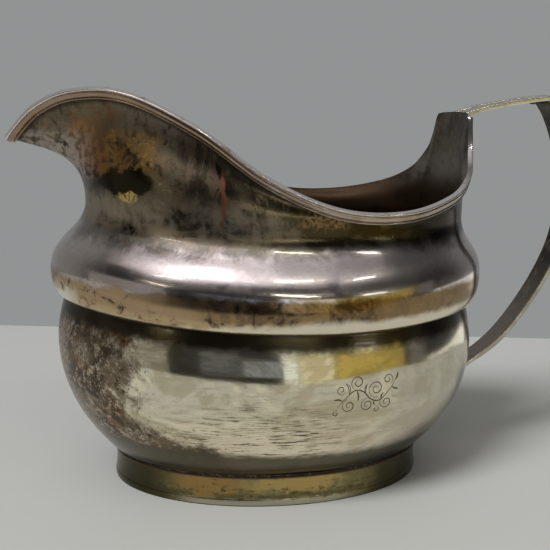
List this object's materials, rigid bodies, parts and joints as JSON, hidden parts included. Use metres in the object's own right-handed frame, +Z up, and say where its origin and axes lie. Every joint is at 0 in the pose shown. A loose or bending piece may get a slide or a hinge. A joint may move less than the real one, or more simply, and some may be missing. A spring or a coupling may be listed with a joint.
{
  "type": "cream jug",
  "caption": "Oval footed cream jug with a bulged band, a long curled spout, a reeded mouth and an angular strap handle, in tarnished silver.",
  "frame": {"origin": "centre of the oval foot, on the plane that the jug stands on", "axes": "+Z up; +X towards the handle, so the spout points along -X; +Y completes the right-handed frame, across the oval"},
  "size_m": [0.1354, 0.0744, 0.0899],
  "materials": {
    "bowl_silver": "old polished silver, yellowish, with fine scratches and patches of brown tarnish",
    "body_silver": "old polished silver, tarnished warm grey and brown",
    "wire_silver": "worn bright silver on the reeds, dark in the grooves",
    "foot_silver": "olive and brassy tarnish on silver",
    "handle_silver": "grey tarnished silver, bright on the edges",
    "solder": "dark tarnished silver solder"
  },
  "bodies": {
    "root": {"lower_bowl": "bowl_silver", "upper_body": "body_silver", "mouth_wire": "wire_silver", "foot_ring": "foot_silver", "foot_base_wire": "foot_silver", "handle_top_strap": "handle_silver", "handle_bow": "handle_silver", "foot_solder": "solder", "seam_solder": "solder", "upper_handle_solder": "solder", "handle_corner_solder": "solder", "lower_handle_solder": "solder"}
  },
  "joints": []
}
